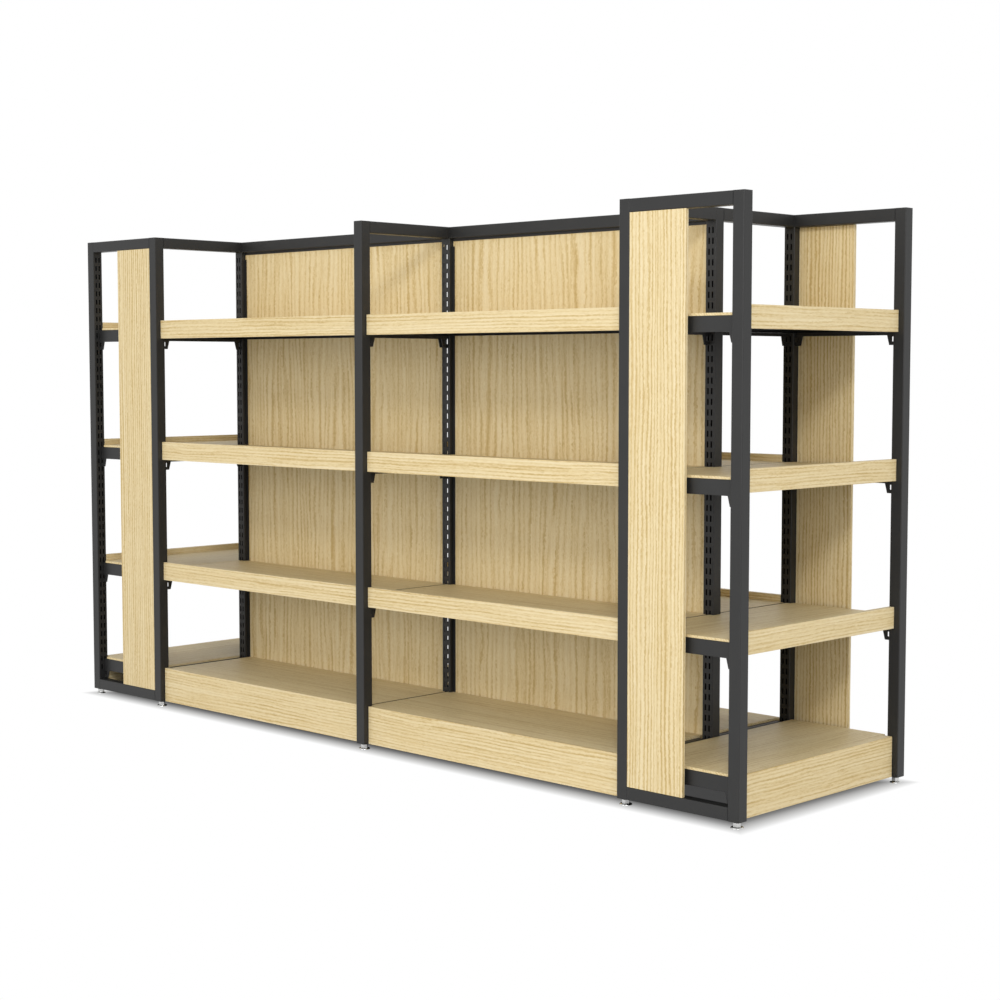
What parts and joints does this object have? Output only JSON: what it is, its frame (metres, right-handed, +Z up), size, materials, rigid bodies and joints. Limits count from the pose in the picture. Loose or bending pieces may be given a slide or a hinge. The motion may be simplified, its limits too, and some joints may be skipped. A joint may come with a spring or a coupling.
{
  "type": "double sided shelving run",
  "caption": "Free-standing double-sided shelving on a slotted black steel frame, with oak boards, lipped fascias, kick decks, back panels and open display ends.",
  "frame": {"origin": "on the floor, at the middle of the run", "axes": "+X along the run, -Y the front face, +Z up"},
  "size_m": [2.435, 0.653, 1.36],
  "materials": {
    "satin_black_steel": "satin charcoal powder coat",
    "oak_board": "pale oak laminate, satin",
    "oak_panel": "pale oak laminate, upright grain, satin",
    "chrome_foot": "polished"
  },
  "bodies": {
    "frame": {"back_panel_left": "oak_panel", "back_panel_right": "oak_panel", "bottom_rail_left": "satin_black_steel", "bottom_rail_right": "satin_black_steel", "centre_upright_left": "satin_black_steel", "centre_upright_middle": "satin_black_steel", "centre_upright_right": "satin_black_steel", "end_frame_front_left": "satin_black_steel", "end_frame_front_right": "satin_black_steel", "end_frame_rear_left": "satin_black_steel", "end_frame_rear_right": "satin_black_steel", "side_frame_front_left": "satin_black_steel", "side_frame_front_middle": "satin_black_steel", "side_frame_front_right": "satin_black_steel", "side_frame_rear_left": "satin_black_steel", "side_frame_rear_middle": "satin_black_steel", "side_frame_rear_right": "satin_black_steel", "side_panel_front_left": "oak_panel", "side_panel_front_right": "oak_panel", "side_panel_rear_left": "oak_panel", "side_panel_rear_right": "oak_panel", "top_rail_left": "satin_black_steel", "top_rail_right": "satin_black_steel"},
    "deck_front_left": {"deck_front_left": "oak_board"},
    "deck_front_right": {"deck_front_right": "oak_board"},
    "deck_rear_left": {"deck_rear_left": "oak_board"},
    "deck_rear_right": {"deck_rear_right": "oak_board"},
    "end_deck_left": {"end_deck_left": "oak_board"},
    "end_deck_right": {"end_deck_right": "oak_board"},
    "end_shelf_left_lower": {"end_shelf_left_lower": "oak_board"},
    "end_shelf_left_middle": {"end_shelf_left_middle": "oak_board"},
    "end_shelf_left_upper": {"end_shelf_left_upper": "oak_board"},
    "end_shelf_right_lower": {"end_shelf_right_lower": "oak_board"},
    "end_shelf_right_middle": {"end_shelf_right_middle": "oak_board"},
    "end_shelf_right_upper": {"end_shelf_right_upper": "oak_board"},
    "shelf_front_left_lower": {"shelf_front_left_lower": "oak_board"},
    "shelf_front_left_middle": {"shelf_front_left_middle": "oak_board"},
    "shelf_front_left_upper": {"shelf_front_left_upper": "oak_board"},
    "shelf_front_right_lower": {"shelf_front_right_lower": "oak_board"},
    "shelf_front_right_middle": {"shelf_front_right_middle": "oak_board"},
    "shelf_front_right_upper": {"shelf_front_right_upper": "oak_board"},
    "shelf_rear_left_lower": {"shelf_rear_left_lower": "oak_board"},
    "shelf_rear_left_middle": {"shelf_rear_left_middle": "oak_board"},
    "shelf_rear_left_upper": {"shelf_rear_left_upper": "oak_board"},
    "shelf_rear_right_lower": {"shelf_rear_right_lower": "oak_board"},
    "shelf_rear_right_middle": {"shelf_rear_right_middle": "oak_board"},
    "shelf_rear_right_upper": {"shelf_rear_right_upper": "oak_board"},
    "levelling_foot_front_left": {"levelling_foot_front_left": "chrome_foot"},
    "levelling_foot_front_middle": {"levelling_foot_front_middle": "chrome_foot"},
    "levelling_foot_front_outer_left": {"levelling_foot_front_outer_left": "chrome_foot"},
    "levelling_foot_front_outer_right": {"levelling_foot_front_outer_right": "chrome_foot"},
    "levelling_foot_front_right": {"levelling_foot_front_right": "chrome_foot"},
    "levelling_foot_rear_left": {"levelling_foot_rear_left": "chrome_foot"},
    "levelling_foot_rear_middle": {"levelling_foot_rear_middle": "chrome_foot"},
    "levelling_foot_rear_outer_left": {"levelling_foot_rear_outer_left": "chrome_foot"},
    "levelling_foot_rear_outer_right": {"levelling_foot_rear_outer_right": "chrome_foot"},
    "levelling_foot_rear_right": {"levelling_foot_rear_right": "chrome_foot"}
  },
  "joints": [
    {"name": "deck_front_left_lift", "type": "slide", "parent": "frame", "child": "deck_front_left", "axis": [0, 0, 1], "range_m": [0, 0.2]},
    {"name": "deck_front_right_lift", "type": "slide", "parent": "frame", "child": "deck_front_right", "axis": [0, 0, 1], "range_m": [0, 0.2]},
    {"name": "deck_rear_left_lift", "type": "slide", "parent": "frame", "child": "deck_rear_left", "axis": [0, 0, 1], "range_m": [0, 0.2]},
    {"name": "deck_rear_right_lift", "type": "slide", "parent": "frame", "child": "deck_rear_right", "axis": [0, 0, 1], "range_m": [0, 0.2]},
    {"name": "end_deck_left_lift", "type": "slide", "parent": "frame", "child": "end_deck_left", "axis": [0, 0, 1], "range_m": [0, 0.2]},
    {"name": "end_deck_right_lift", "type": "slide", "parent": "frame", "child": "end_deck_right", "axis": [0, 0, 1], "range_m": [0, 0.2]},
    {"name": "end_shelf_left_lower_lift", "type": "slide", "parent": "frame", "child": "end_shelf_left_lower", "axis": [0, 0, 1], "range_m": [0, 0.2]},
    {"name": "end_shelf_left_middle_lift", "type": "slide", "parent": "frame", "child": "end_shelf_left_middle", "axis": [0, 0, 1], "range_m": [0, 0.2]},
    {"name": "end_shelf_left_upper_lift", "type": "slide", "parent": "frame", "child": "end_shelf_left_upper", "axis": [0, 0, 1], "range_m": [0, 0.2]},
    {"name": "end_shelf_right_lower_lift", "type": "slide", "parent": "frame", "child": "end_shelf_right_lower", "axis": [0, 0, 1], "range_m": [0, 0.2]},
    {"name": "end_shelf_right_middle_lift", "type": "slide", "parent": "frame", "child": "end_shelf_right_middle", "axis": [0, 0, 1], "range_m": [0, 0.2]},
    {"name": "end_shelf_right_upper_lift", "type": "slide", "parent": "frame", "child": "end_shelf_right_upper", "axis": [0, 0, 1], "range_m": [0, 0.2]},
    {"name": "shelf_front_left_lower_lift", "type": "slide", "parent": "frame", "child": "shelf_front_left_lower", "axis": [0, 0, 1], "range_m": [0, 0.2]},
    {"name": "shelf_front_left_middle_lift", "type": "slide", "parent": "frame", "child": "shelf_front_left_middle", "axis": [0, 0, 1], "range_m": [0, 0.2]},
    {"name": "shelf_front_left_upper_lift", "type": "slide", "parent": "frame", "child": "shelf_front_left_upper", "axis": [0, 0, 1], "range_m": [0, 0.2]},
    {"name": "shelf_front_right_lower_lift", "type": "slide", "parent": "frame", "child": "shelf_front_right_lower", "axis": [0, 0, 1], "range_m": [0, 0.2]},
    {"name": "shelf_front_right_middle_lift", "type": "slide", "parent": "frame", "child": "shelf_front_right_middle", "axis": [0, 0, 1], "range_m": [0, 0.2]},
    {"name": "shelf_front_right_upper_lift", "type": "slide", "parent": "frame", "child": "shelf_front_right_upper", "axis": [0, 0, 1], "range_m": [0, 0.2]},
    {"name": "shelf_rear_left_lower_lift", "type": "slide", "parent": "frame", "child": "shelf_rear_left_lower", "axis": [0, 0, 1], "range_m": [0, 0.2]},
    {"name": "shelf_rear_left_middle_lift", "type": "slide", "parent": "frame", "child": "shelf_rear_left_middle", "axis": [0, 0, 1], "range_m": [0, 0.2]},
    {"name": "shelf_rear_left_upper_lift", "type": "slide", "parent": "frame", "child": "shelf_rear_left_upper", "axis": [0, 0, 1], "range_m": [0, 0.2]},
    {"name": "shelf_rear_right_lower_lift", "type": "slide", "parent": "frame", "child": "shelf_rear_right_lower", "axis": [0, 0, 1], "range_m": [0, 0.2]},
    {"name": "shelf_rear_right_middle_lift", "type": "slide", "parent": "frame", "child": "shelf_rear_right_middle", "axis": [0, 0, 1], "range_m": [0, 0.2]},
    {"name": "shelf_rear_right_upper_lift", "type": "slide", "parent": "frame", "child": "shelf_rear_right_upper", "axis": [0, 0, 1], "range_m": [0, 0.2]},
    {"name": "levelling_foot_front_left_screw", "type": "slide", "parent": "frame", "child": "levelling_foot_front_left", "axis": [0, 0, 1], "range_m": [-0.012, 0.002]},
    {"name": "levelling_foot_front_middle_screw", "type": "slide", "parent": "frame", "child": "levelling_foot_front_middle", "axis": [0, 0, 1], "range_m": [-0.012, 0.002]},
    {"name": "levelling_foot_front_outer_left_screw", "type": "slide", "parent": "frame", "child": "levelling_foot_front_outer_left", "axis": [0, 0, 1], "range_m": [-0.012, 0.002]},
    {"name": "levelling_foot_front_outer_right_screw", "type": "slide", "parent": "frame", "child": "levelling_foot_front_outer_right", "axis": [0, 0, 1], "range_m": [-0.012, 0.002]},
    {"name": "levelling_foot_front_right_screw", "type": "slide", "parent": "frame", "child": "levelling_foot_front_right", "axis": [0, 0, 1], "range_m": [-0.012, 0.002]},
    {"name": "levelling_foot_rear_left_screw", "type": "slide", "parent": "frame", "child": "levelling_foot_rear_left", "axis": [0, 0, 1], "range_m": [-0.012, 0.002]},
    {"name": "levelling_foot_rear_middle_screw", "type": "slide", "parent": "frame", "child": "levelling_foot_rear_middle", "axis": [0, 0, 1], "range_m": [-0.012, 0.002]},
    {"name": "levelling_foot_rear_outer_left_screw", "type": "slide", "parent": "frame", "child": "levelling_foot_rear_outer_left", "axis": [0, 0, 1], "range_m": [-0.012, 0.002]},
    {"name": "levelling_foot_rear_outer_right_screw", "type": "slide", "parent": "frame", "child": "levelling_foot_rear_outer_right", "axis": [0, 0, 1], "range_m": [-0.012, 0.002]},
    {"name": "levelling_foot_rear_right_screw", "type": "slide", "parent": "frame", "child": "levelling_foot_rear_right", "axis": [0, 0, 1], "range_m": [-0.012, 0.002]}
  ]
}
